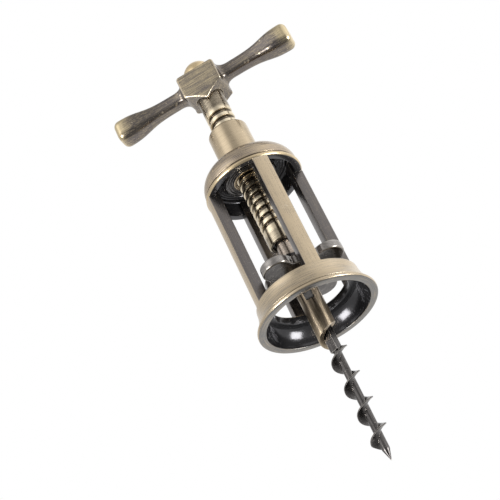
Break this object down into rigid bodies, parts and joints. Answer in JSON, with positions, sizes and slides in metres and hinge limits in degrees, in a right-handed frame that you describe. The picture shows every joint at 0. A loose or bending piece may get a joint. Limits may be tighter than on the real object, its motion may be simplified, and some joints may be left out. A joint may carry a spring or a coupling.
{
  "type": "screw-lift wine opener",
  "caption": "Cage corkscrew: a bell seats on the bottle, posts carry a collared ring, and a T-handled screw draws the guided worm and cork up.",
  "frame": {"origin": "on the opener's axis, in the plane of the bell's mouth, where the bottle's neck enters", "axes": "+Z along the screw, from the worm's point up to the T-handle; the posts stand on X and Y"},
  "size_m": [0.0714, 0.046, 0.1829],
  "materials": {
    "cage_brass": "antique brass plate, brushed, with darkened recesses",
    "collar_brass": "antique brass plate, satin",
    "screw_brass": "antique brass plate, bright crests and dark grooves",
    "handle_bronze": "darkened bronze, rubbed bright on edges and bar ends",
    "dome_brass": "satin yellow brass",
    "dark_bronze": "blackened bronze, glossy",
    "star_bronze": "darkened bronze, scuffed",
    "sleeve_brass": "antique brass plate, polished",
    "shaft_steel": "turned steel, tarnished",
    "worm_steel": "blackened steel, bright along the flight's edge"
  },
  "bodies": {
    "cage": {"bell": "cage_brass", "upper_ring": "cage_brass", "post_front": "cage_brass", "post_right": "cage_brass", "post_back": "cage_brass", "post_left": "cage_brass", "top_collar": "collar_brass", "collar_lock_ring": "dark_bronze"},
    "carriage": {"swivel_shaft": "shaft_steel", "guide_star": "star_bronze", "guide_nut": "dark_bronze", "worm_sleeve": "sleeve_brass", "sleeve_key": "dark_bronze", "worm": "worm_steel"},
    "screw": {"spindle": "screw_brass", "t_handle": "handle_bronze", "dome_nut": "dome_brass", "swivel_bush": "dark_bronze", "thrust_washer": "shaft_steel"}
  },
  "joints": [
    {"name": "carriage_lift", "type": "slide", "parent": "cage", "child": "carriage", "axis": [0, 0, 1], "range_m": [-0.00503, 0.03686]},
    {"name": "screw_turn", "type": "hinge", "parent": "carriage", "child": "screw", "pos_m": [0, 0, 0.0335], "axis": [0, 0, 1], "range_deg": [-540, 3960]}
  ],
  "couplings": [
    {"joint": "carriage_lift", "follows": "screw_turn", "m_per_rad": 0.00053317}
  ]
}
